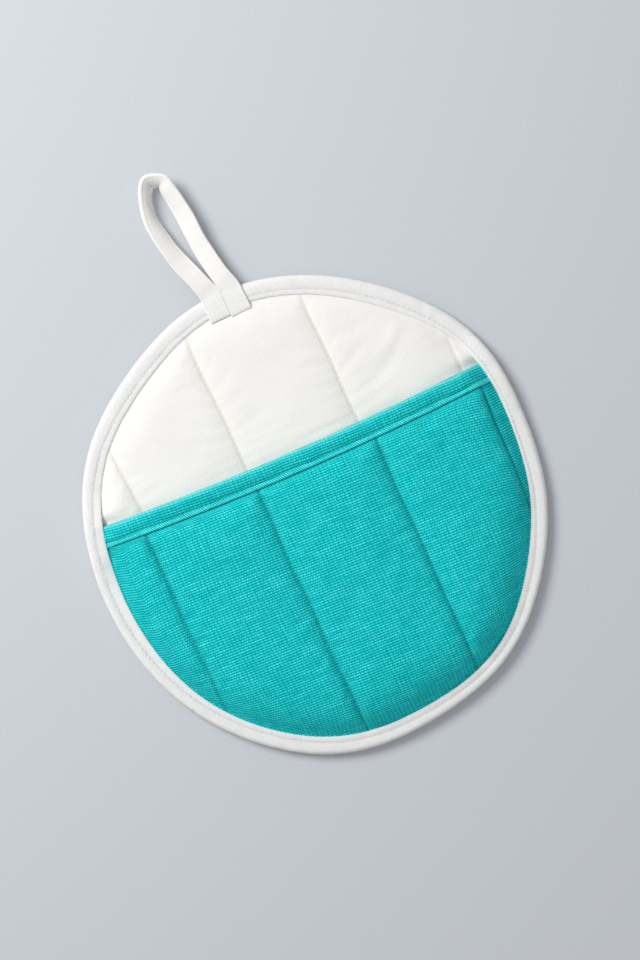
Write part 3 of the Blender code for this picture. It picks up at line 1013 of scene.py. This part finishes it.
def spun_thread(name, base, gap_shade):
    made, n, shader, cut = new_material(name, 0.7, 0.1)
    x, y, _ = n.split(cut)
    ply = n.math("SINE", n.times(n.plus(n.over(x, 0.0005), n.over(y, 0.0004)), math.pi))
    lint = n.group(LINT, cut=cut, fuzz_size=0.0003)
    # Painted shade in the grooves between the thread's plies
    colour = shaded(n, base, gap_shade, n.between(ply, -1.0, 0.2, 0.5, 0.0), lint["Fuzz"], 0.05,
                    lint["Shade"], 0.02)
    n.feed(shader.inputs["Base Color"], colour)
    n.feed(shader.inputs["Normal"], n.bump(ply, 0.00005, 0.8))
    return made


def felted_wadding(name, base, gap_shade):
    made, n, shader, cut = new_material(name, 0.95, 0.2)
    lint = n.group(LINT, cut=cut, fuzz_size=0.0012)
    # Painted shade in the hollows of the wadding
    hollow = n.between(lint["Fuzz"], 0.35, 0.6, 1.0, 0.0)
    colour = shaded(n, base, gap_shade, hollow, lint["Fuzz"], 0.05, lint["Shade"], 0.05)
    n.feed(shader.inputs["Base Color"], colour)
    n.feed(shader.inputs["Normal"], n.bump(lint["Fuzz"], 0.0004))
    return made


def pale_tabletop(name):
    made, n, shader, _ = new_material(name, 0.9, 0.0)
    place = n.add("ShaderNodeTexCoord").outputs["Object"]
    shade = n.between(n.noise(place, 900.0, 4.0), 0.3, 0.7)
    colour = n.blend(shade, (0.575, 0.605, 0.640, 1), (0.600, 0.630, 0.665, 1))
    n.feed(shader.inputs["Base Color"], colour)
    n.feed(shader.inputs["Normal"], n.bump(shade, 0.0002, 0.15))
    return made


# Cloth colours: yarn, painted highlight on raised yarns, painted shade in the gaps, painted shade
# in the sewn creases
WHITE_COTTON = woven(
    "white cotton",
    ((0.900, 0.883, 0.848, 1), (0.915, 0.898, 0.862, 1), (0.840, 0.818, 0.770, 1),
     (0.770, 0.710, 0.600, 1)),
    0.45, 0.00007, 0.012, 0.90, 0.03, 0.00014,
)
TEAL_CANVAS = woven(
    "teal canvas",
    ((0.002, 0.720, 0.730, 1), (0.140, 0.960, 0.960, 1), (0.000, 0.150, 0.180, 1),
     (0.000, 0.230, 0.260, 1)),
    0.40, 0.00020, 0.16, 0.90, 0.0, 0.00010, shade_reach=0.035, cord_pitch=0.0011,
)
# Tape colours: yarn, painted shade between the ribs, painted shade in the sewn crease
WHITE_TAPE = ribbed_tape("ribbed white tape", (0.895, 0.876, 0.845, 1), (0.760, 0.735, 0.690, 1),
                         (0.740, 0.670, 0.590, 1), 0.00008)
LOOP_TAPE = ribbed_tape("soft white tape", (0.868, 0.850, 0.820, 1), (0.810, 0.790, 0.750, 1),
                        (0.740, 0.670, 0.590, 1), 0.00004)
# Thread colours: yarn, painted shade between the plies
WHITE_THREAD = spun_thread("white thread", (0.900, 0.890, 0.860, 1), (0.640, 0.620, 0.570, 1))
TEAL_THREAD = spun_thread("teal thread", (0.030, 0.560, 0.570, 1), (0.004, 0.250, 0.270, 1))
# Wadding colours: fibre, painted shade in the hollows
WADDING = felted_wadding("cotton wadding", (0.80, 0.78, 0.72, 1), (0.66, 0.63, 0.57, 1))


# The two quilted panels

# The width beside a seam that stays smooth, how deep the face's seams run into the pocket,
# and the least height of the underside
BACK_SMOOTH = 0.010
POCKET_SMOOTH = 0.008
SEAM_INTO_POCKET = 0.008
OFF_TABLE = 0.00002

# Single wrinkles: (place, heading, length, width, height)
BACK_WRINKLES = (
    ((0.066, 0.060), 38, 0.012, 0.0030, 0.00045),
    ((0.058, 0.048), 30, 0.014, 0.0028, -0.00035),
    ((-0.050, 0.060), -30, 0.016, 0.0040, 0.00025),
)
POCKET_WRINKLES = (
    ((-0.045, -0.015), -38, 0.016, 0.0036, -0.00040),
    ((0.068, 0.012), 42, 0.014, 0.0032, 0.00050),
    ((0.020, -0.035), 28, 0.018, 0.0040, -0.00035),
    ((-0.002, -0.060), -20, 0.016, 0.0036, 0.00030),
    ((0.060, -0.045), 50, 0.015, 0.0034, -0.00030),
)


def uneven(x, y, lines, smooth, wrinkles, seed):
    """Wrinkles, puckers beside the seams and lumps of the filling, nothing on the seams."""
    apart = from_seam(x, y, lines)
    near = np.exp(-(apart / 0.004) ** 2) * ease(apart, 0.0, 0.0012)
    puckers = lumps(x * 0.5, y, 0.0085, seed) * near * 0.00009
    filling = lumps(x, y, 0.030, seed + 1) * 0.00022 + lumps(x, y, 0.014, seed + 2) * 0.00006
    folds = sum(high * wrinkle(x, y, at, heading, length, width)
                for at, heading, length, width, high in wrinkles)
    inside = ease(past_tape(x, y), RIM_FLAT, 0.008)
    return (puckers + (filling + folds) * ease(apart, 0.0, smooth)) * inside


def seam_runs(panel, heights, seams, room):
    """The quilting lines as rows of points on a sheet, where they are free of tape and strip."""
    x, y, _, used = panel
    runs = []
    for column in seams:
        free = used[:, column] & (room(x[:, column], y[:, column]) > 0.0012)
        points = np.stack([x[free, column], y[free, column], heights[free, column]], axis=-1)
        if len(points) > 4:
            runs.append(points)
    return runs


def sewn_down(x, y, lines):
    return (from_seam(x, y, lines) < SEWN_REACH) | (past_tape(x, y) < RIM_FLAT)


def make_disc():
    x, y, seams = back_lattice()
    panel = trim_to_rim(x, y)
    x, y = panel[:2]
    low, top = back_bottom(x, y), back_top(x, y)
    lines = BACK_QUILTING
    move_top, move_low = puffed(panel, top, low, sewn_down(x, y, lines))
    rough = uneven(x, y, lines, BACK_SMOOTH, BACK_WRINKLES, 11)
    top = top + settled(move_top, FACE_PUFF) + rough
    rough = uneven(x, y, lines, BACK_SMOOTH, (), 21)
    low = low + settled(move_low, UNDERSIDE_PUFF) + 0.5 * rough
    low = np.maximum(low, OFF_TABLE)
    top = np.maximum(top, low + pinched(x, y) * 0.9)
    face = slab("disc_face_cloth", panel, top, top - CLOTH, WHITE_COTTON,
                ["back_face"], lines)
    back = slab("disc_underside_cloth", panel, low + CLOTH, low, WHITE_COTTON,
                ["back_backing"], lines)
    wadding_slab("disc_wadding", panel, top, low, "back_batting")

    def clear(px, py):
        return np.minimum(past_tape(px, py), SEAM_INTO_POCKET - below_mouth(px, py))

    stitches("disc_face_stitches", seam_runs(panel, top, seams, clear), WHITE_THREAD,
             sink=0.00008)
    stitches("disc_underside_stitches", seam_runs(panel, low, seams, past_tape), WHITE_THREAD,
             sink=0.00018)


def make_pocket():
    x, y, seams = pocket_lattice()
    panel = trim_to_rim(x, y)
    x, y = panel[:2]
    low, top = pocket_bottom(x, y), pocket_top(x, y)
    lines = POCKET_QUILTING
    below = below_mouth(x, y) - STRIP_WIDTH
    move_top, move_low = puffed(panel, top, low, sewn_down(x, y, lines) | (below < 0.0005))
    free = ease(below, 0.0004, 0.004)
    rough = uneven(x, y, lines, POCKET_SMOOTH, POCKET_WRINKLES, 31)
    top = top + (settled(move_top, POCKET_PUFF) + rough) * free
    low = low + settled(move_low, LINING_PUFF) * free
    top = np.maximum(top, low + POCKET_PINCHED * 0.95)
    face = slab("pocket_face_cloth", panel, top, top - CLOTH, TEAL_CANVAS,
                ["pocket_face"], lines)
    lining = slab("pocket_lining_cloth", panel, low + CLOTH, low, WHITE_COTTON,
                  ["pocket_lining"], lines)
    wadding_slab("pocket_wadding", panel, top, low, "pocket_batting")

    def clear(px, py):
        return np.minimum(past_tape(px, py), below_mouth(px, py) - STRIP_WIDTH)

    stitches("pocket_stitches", seam_runs(panel, top, seams, clear), TEAL_THREAD,
             sink=0.00008)


# The strip along the mouth

def strip_end(side, depth):
    """The x at which a row below the mouth meets the panel's edge under the tape."""
    low, high = 0.0, DIAMETER / 2
    for _ in range(40):
        middle = (low + high) / 2
        inside = from_rim(side * middle, mouth_y(side * middle) - depth) > PANEL_EDGE
        low, high = (middle, high) if inside else (low, middle)
    return side * low


def make_strip():
    """The folded strip: a crowned band, a sewn valley and a corded edge, and its plain back."""
    inner, outer = STRIP_CLEARANCE, STRIP_CLEARANCE + STRIP_CLOTH
    # (depth below the fold, sheet it lies on, height off that sheet, cord, sewn line of painted
    # crease shade, painted sheen along the fold)
    profile = [
        (STRIP_WIDTH, 1, outer - 0.0006, 1, 0, 0),
        (STRIP_WIDTH - 0.0001, 1, outer - 0.0001, 1, 0, 0),
        (STRIP_WIDTH - 0.0004, 1, outer + 0.0004, 1, 0, 0),
        (STRIP_WIDTH - 0.0009, 1, outer + 0.0006, 1, 0, 0.15),
        (STRIP_WIDTH - 0.0015, 1, outer + 0.0004, 1, 0, 0),
        (STRIP_WIDTH - 0.0020, 1, outer + 0.0000, 0.6, 0, 0),
        (STRIP_SEAM + 0.0004, 1, outer - 0.00040, 0, 0.5, 0),
        (STRIP_SEAM, 1, outer - 0.00050, 0, 1, 0),
        (STRIP_SEAM - 0.0005, 1, outer - 0.00020, 0, 0.4, 0),
        (STRIP_SEAM - 0.0016, 1, outer + 0.00035, 0, 0, 0),
        (0.0038, 1, outer + 0.00065, 0, 0, 0),
        (0.0026, 1, outer + 0.00070, 0, 0, 0),
        (0.0014, 1, outer + 0.00035, 0, 0, 0.3),
        (0.0006, 1, outer - 0.00035, 0, 0, 0.8),
        (0.0001, 1, outer - 0.0013, 0, 0, 1),
        (0.0000, 0, 0.0, 0, 0, 0.8),
        (0.0002, -1, 0.0002, 0, 0, 0),
        (0.0008, -1, -0.0006, 0, 0, 0),
        (0.0018, -1, -outer + 0.0002, 0, 0, 0),
        (STRIP_WIDTH / 2, -1, -outer, 0, 0, 0),
        (STRIP_BACK_WIDTH, -1, -outer, 0, 0, 0),
        (STRIP_BACK_WIDTH, -1, -inner, 0, 0, 0),
        (STRIP_WIDTH / 2, -1, -inner, 0, 0, 0),
        (STRIP_CLOTH, -1, -inner, 0, 0, 0),
        (STRIP_CLOTH, 1, inner, 0, 0, 0),
        (STRIP_WIDTH / 2, 1, inner, 0, 0, 0),
        (STRIP_WIDTH - 0.0002, 1, inner, 0, 0, 0),
    ]
    share = np.linspace(-1, 1, STRIP_STATIONS)
    rows, cut = [], []
    walked = 0.0
    for k, (depth, sheet, off, *_) in enumerate(profile):
        left, right = strip_end(-1, depth), strip_end(1, depth)
        x = (left + right) / 2 + (right - left) / 2 * share
        wave = lumps(x, 0 * x, 0.018, 61) * 0.00018 * (1 - ease(np.abs(share), 0.93, 1.0))
        y = mouth_y(x) - depth - (wave if sheet == 1 and depth < 0.009 else 0.0)
        sheet_y = mouth_y(x) - max(depth, STRIP_ROOM)
        over, under = pocket_top(x, sheet_y), pocket_bottom(x, sheet_y)
        z = {1: over, 0: (over + under) / 2, -1: under}[sheet] + off
        if sheet == 1 and off > inner:
            free = ease(past_tape(x, mouth_y(x) - depth), -0.001, 0.006)
            z = z + (lumps(x, 0 * x + depth, 0.007, 62) * 0.00008) * free
            z = z - max(off - outer, 0.0) * (1 - free)
        rows.append(np.stack([x, y, z], axis=-1))
        if k:
            walked += math.hypot(depth - profile[k - 1][0], off - profile[k - 1][2])
        down = -depth if sheet == 1 else walked
        cut.append(np.stack([x, down + 0 * x, 0 * x], axis=-1))
    masks = {
        label: np.repeat(np.array([[row[k] for row in profile]], float), STRIP_STATIONS, axis=0)
        for k, label in ((3, "cord"), (4, "sewn"), (5, "fold_sheen"))
    }
    swept("pocket_strip", np.stack(rows, axis=1), False, np.stack(cut, axis=1), (0, 0), masks,
          TEAL_CANVAS, ["pocket_binding"])
    x = np.linspace(strip_end(-1, STRIP_SEAM) + 0.006, strip_end(1, STRIP_SEAM) - 0.006, 300)
    y = mouth_y(x) - STRIP_SEAM
    run = np.stack([x, y, pocket_top(x, y) + outer - 0.00048], axis=-1)
    stitches("strip_stitches", [run], TEAL_THREAD, length=0.0017, pitch=0.0023)


# The tape round the rim

def round_rim(angle, inset):
    """x and y of points a given way in from the tape's outer edge."""
    radius = rim_radius(angle) - inset
    return radius * np.cos(angle), radius * np.sin(angle)


def tape_profile(angle):
    """The tape's section at each station: a plane of insets and a plane of heights."""
    w = tape_width(angle)
    above = stack_top(*round_rim(angle, PANEL_EDGE), CROWN_CLIMB) + LAYER_GAP + TAPE_EDGE
    inner_edge = round_rim(angle, w)
    lifted = BAND_RISE * ease(below_mouth(*inner_edge), STRIP_WIDTH, 3 * STRIP_WIDTH)
    edge_top = stack_top(*inner_edge, EDGE_CLIMB) + TAPE_EDGE + lifted
    edge_low = stack_top(*inner_edge, LAYER_CLIMB) + corner_swell(*inner_edge)
    edge_low = np.minimum(edge_low, edge_top - TAPE_EDGE) + 0.00003
    place = DIAMETER / 2 * np.cos(angle), DIAMETER / 2 * np.sin(angle)
    under = rim_lift(*place) - LAYER_GAP - TAPE_CLOTH
    crease = w * (TAPE_CREASE + lobes(angle, CREASE_WANDER))
    pull = 0.5 + 0.5 * np.cos(RIM_STITCHES * angle)
    roll = TAPE_ROLL * (1 + 0.12 * lumps(*place, 0.022, 72))
    from_join = np.degrees(np.angle(np.exp(1j * (angle - math.radians(TAPE_JOIN)))))
    join = np.exp(-(from_join / 0.55) ** 2)
    dip = 0.00016 + 0.00010 * pull + 0.0002 * join
    band = (edge_top + above) / 2
    edge = 0.00005 * lumps(*place, 0.006, 73) + 0.0003 * join
    mid = (above + under) / 2
    # (inset from the outer edge, height), from the inner edge over the top and back under
    points = [
        (w, edge_low),
        (w + 0.00006, edge_top - TAPE_EDGE * 0.55),
        (w - 0.00012, edge_top - TAPE_EDGE * 0.18),
        (w - 0.00050, edge_top + 0.00004),
        (crease + (w - crease) * 0.55, band + 0.00016),
        (crease + (w - crease) * 0.22, (band + above) / 2 - dip * 0.25),
        (crease + 0.00022, above - dip * 0.85),
        (crease, above - dip),
        (crease - 0.00022, above - dip * 0.7),
        (crease - 0.00060, above + roll * 0.10),
        (crease * 0.80, above + roll * 0.50),
        (crease * 0.66, above + roll * 0.88),
        (crease * 0.50, above + roll),
        (crease * 0.36, above + roll * 0.72),
        (crease * 0.22, above - 0.0001),
        (0.11 * crease + edge, above - 0.0008),
        (0.00024 + edge, above - 0.0018),
        (edge, mid),
        (0.00015 + edge, under + 0.0018),
        (0.00060 + edge, under + 0.0007),
        (0.0014, under + 0.0001),
        (0.0028, under - 0.00018),
        (0.0044, under - 0.00010),
        (TAPE_BACK_CREASE, under + 0.00022 + 0.0001 * pull),
        (0.0064, under + 0.00004),
        (TAPE_BACK_WIDTH - 0.0004, under),
        (TAPE_BACK_WIDTH + edge * 0.5, under + TAPE_CLOTH * 0.5),
        (TAPE_BACK_WIDTH - 0.0001, under + TAPE_CLOTH),
        (0.0040, under + TAPE_CLOTH),
        (TAPE_WALL, under + TAPE_CLOTH),
        (TAPE_WALL, above - TAPE_EDGE),
        (w * 0.55, above - TAPE_EDGE),
    ]
    inset, height = (np.stack([p[k] + 0 * angle for p in points], axis=-1) for k in (0, 1))
    return inset, height, crease, above - dip, under


def make_tape():
    angle = np.arange(RIM_STATIONS) * 2 * math.pi / RIM_STATIONS
    inset, height, crease, floor, under = tape_profile(angle)
    place = DIAMETER / 2 * np.cos(angle), DIAMETER / 2 * np.sin(angle)
    soft = [lumps(*place, 0.009, 74 + k // 4) for k in range(inset.shape[1])]
    seen = (inset > 0) & (height > RIM_LIFT)
    height = height + np.where(seen, np.stack(soft, axis=-1) * 0.00007, 0.0)
    sections = np.stack([*round_rim(angle[:, None], inset), height], axis=-1)
    across = lengths_along(sections[0])
    whole = round(math.pi * DIAMETER / RIB_PITCH) * RIB_PITCH
    cut = cut_grid(angle / (2 * math.pi) * whole, across)
    # The tape's sewn crease, where its material paints shade
    sewn = np.exp(-((inset - crease[:, None]) / 0.00028) ** 2) * (height > RIM_LIFT + PINCHED)
    swept("rim_tape", sections, True, cut, (whole, across[-1]), {"sewn": sewn}, WHITE_TAPE,
          ["edge_binding"])

    def seam_round(inset, height):
        run = np.stack([*round_rim(angle, inset), height], axis=-1)
        return np.concatenate([run, run[:1]])

    run, below = seam_round(crease, floor), seam_round(TAPE_BACK_CREASE, under + 0.0001)
    stitches("rim_stitches", [run], WHITE_THREAD, sink=0.00012,
             pitch=lengths_along(run)[-1] / RIM_STITCHES)
    stitches("rim_underside_stitches", [below], WHITE_THREAD, sink=0.00012)


# The hanging loop

def loop_points():
    rim = float(rim_radius(math.pi / 2))
    half = LOOP_TAPE_WIDTH / 2
    left = LOOP_X - LOOP_STRAND_GAP / 2 - half
    right = LOOP_X + LOOP_STRAND_GAP / 2 + half
    lie = LOOP_TAPE_THICKNESS / 2 + LAYER_GAP
    tape = RIM_LIFT + PINCHED + LAYER_GAP + TAPE_CLOTH + lie
    crown = tape + TAPE_ROLL
    crown_y = rim - TAPE_WIDTH * 0.40
    eye_left = LOOP_X - 0.0090 - LOOP_HOLE
    eye_right = LOOP_X - 0.0015

    def out(share):
        return rim + LOOP_REACH * share

    # (x, y, height, roll of the tape), from the left tab round the eye to the right tab
    return [
        (left + 0.0003, rim - LOOP_TAB, tape, 0),
        (left + 0.0002, rim - TAPE_WIDTH * 0.86, tape + LAYER_GAP, 0),
        (left + 0.0001, crown_y, crown, 0),
        (left, out(0.015), tape, -2),
        (left - 0.0027, out(0.15), LOOP_HEIGHT + 0.0008, -8),
        (left - 0.0062, out(0.30), LOOP_HEIGHT, -17),
        (left - 0.0090, out(0.46), LOOP_HEIGHT, -30),
        (eye_left + 0.0003, out(0.62), LOOP_HEIGHT, -43),
        (eye_left, out(0.72), LOOP_HEIGHT, -55),
        (eye_left + 0.0010, out(0.81), LOOP_HEIGHT, -62),
        (eye_left + 0.0029, out(0.895), LOOP_HEIGHT, -64),
        (eye_left + 0.0057, out(0.947), LOOP_HEIGHT, -61),
        (eye_left + 0.0093, out(0.942), LOOP_HEIGHT, -60),
        (eye_left + 0.0125, out(0.917), LOOP_HEIGHT, -58),
        (eye_right - 0.0010, out(0.885), LOOP_HEIGHT, -50),
        (eye_right - 0.0009, out(0.84), LOOP_HEIGHT, -42),
        (eye_right, out(0.75), LOOP_HEIGHT, -35),
        (eye_right + 0.0011, out(0.60), LOOP_HEIGHT, -28),
        (right - 0.0047, out(0.44), LOOP_HEIGHT, -23),
        (right - 0.0037, out(0.30), LOOP_HEIGHT, -18),
        (right - 0.0020, out(0.15), LOOP_HEIGHT + 0.0008, -10),
        (right + 0.0001, out(0.015), tape, -2),
        (right + 0.0002, crown_y, crown, 0),
        (right + 0.0005, rim - TAPE_WIDTH * 0.86, tape + LAYER_GAP, 0),
        (right + 0.0007, rim - LOOP_TAB - 0.0008, tape, 0),
    ]


# (across, through) of the folded loop tape, as shares of half its width and half its thickness
LOOP_SECTION = (
    (1.00, 0.00), (0.99, 0.55), (0.95, 0.95), (0.88, 1.12), (0.80, 1.02), (0.74, 0.86),
    (0.66, 0.98), (0.40, 1.04), (0.00, 1.06), (-0.40, 1.04), (-0.66, 0.98), (-0.74, 0.86),
    (-0.80, 1.02), (-0.88, 1.12), (-0.95, 0.95), (-0.99, 0.55), (-1.00, 0.00), (-0.99, -0.55),
    (-0.95, -0.95), (-0.86, -1.05), (-0.40, -1.00), (0.00, -1.00), (0.40, -1.00), (0.86, -1.05),
    (0.95, -0.95), (0.99, -0.55),
)


def make_loop():
    path = smooth_path(loop_points(), LOOP_STEPS)
    centre, roll = path[:, :3], np.radians(path[:, 3])
    along = np.gradient(centre, axis=0)
    along = along / np.linalg.norm(along, axis=1, keepdims=True)
    outward = np.cross((0.0, 0.0, 1.0), along)
    outward = outward / np.linalg.norm(outward, axis=1, keepdims=True)
    square = np.cross(along, outward)
    across = np.cos(roll)[:, None] * outward - np.sin(roll)[:, None] * square
    facing = np.cross(along, across)
    walked = lengths_along(centre)
    section = np.array(LOOP_SECTION)
    from_end = np.minimum(walked, walked[-1] - walked)
    pressed = 1 - ease(from_end, LOOP_TAB * 0.9, LOOP_TAB * 1.6)
    wide = LOOP_TAPE_WIDTH / 2 * (1 + 0.02 * lumps(walked, 0 * walked, 0.016, 81) * (1 - pressed))
    wide = wide + pressed * LOOP_STRAND_GAP
    thick = LOOP_TAPE_THICKNESS / 2 * (1 + 0.10 * lumps(walked, 0 * walked, 0.008, 82))
    thick = thick * (1 - 0.38 * pressed) * (0.45 + 0.55 * ease(from_end, 0.0, 0.0012))
    centre = centre - np.stack([0 * walked, 0 * walked, 0.00055 * pressed], axis=-1)
    share = walked / walked[-1]
    crown = 0.0016 * ease(share, 0.16, 0.40) * (1 - ease(share, 0.56, 0.66))
    side = wide[:, None, None] * section[None, :, :1] * across[:, None, :]
    swollen = crown[:, None] * (1 - section[None, :, 0] ** 2)
    through = (thick[:, None] * section[None, :, 1] + swollen)[:, :, None] * facing[:, None, :]
    sections = centre[:, None, :] + side + through
    around = lengths_along(np.column_stack([section[:, 0] * LOOP_TAPE_WIDTH / 2,
                                            section[:, 1] * LOOP_TAPE_THICKNESS / 2]))
    swept("loop_tape", sections, False, cut_grid(walked, around), (0, around[-1] + 0.0004), {},
          LOOP_TAPE, ["hanging_loop"])


# Floor, light and camera

SEEN_BACKDROP = (0.80, 0.83, 0.87, 1)


def make_stage():
    mesh = new_mesh("floor", [(-3, -3, 0), (3, -3, 0), (3, 3, 0), (-3, 3, 0)], [(0, 1, 2, 3)])
    floor = placed("floor", mesh)
    mesh.materials.append(pale_tabletop("pale tabletop"))

    world = bpy.data.worlds.new("studio")
    world.use_nodes = True
    n = Nodes(world.node_tree)
    background = world.node_tree.nodes["Background"]
    background.inputs["Strength"].default_value = 1.0
    rays = n.add("ShaderNodeLightPath").outputs
    seen = n.math("MAXIMUM", rays["Is Camera Ray"], rays["Is Glossy Ray"])
    fill = (FILL_SHARE, FILL_SHARE, FILL_SHARE * 1.03, 1)
    n.feed(background.inputs["Color"], n.blend(seen, fill, SEEN_BACKDROP))
    bpy.context.scene.world = world

    lamp = bpy.data.lights.new("key", "AREA")
    lamp.shape = "DISK"
    lamp.size = LAMP_SIZE
    up = math.sin(math.radians(LAMP_ELEVATION))
    lamp.energy = LAMP_SHARE * math.pi ** 2 * LAMP_DISTANCE ** 2 / up
    key = placed("key", lamp)
    flat = math.cos(math.radians(LAMP_ELEVATION))
    turn = math.radians(LAMP_DIRECTION)
    key.location = Vector((flat * math.cos(turn), flat * math.sin(turn), up)) * LAMP_DISTANCE
    key.rotation_euler = (-key.location).to_track_quat("-Z", "Y").to_euler()

    camera = placed("camera", bpy.data.cameras.new("camera"))
    camera.data.lens = camera.data.sensor_width * CAMERA_HEIGHT / VIEW_HEIGHT
    camera.location = (*CAMERA_AIM, CAMERA_HEIGHT)
    camera.rotation_euler = (0, 0, -math.radians(CAMERA_ROLL))
    bpy.context.scene.camera = camera
    bpy.context.scene.view_settings.view_transform = "Standard"


make_disc()
make_pocket()
make_strip()
make_tape()
make_loop()
make_stage()
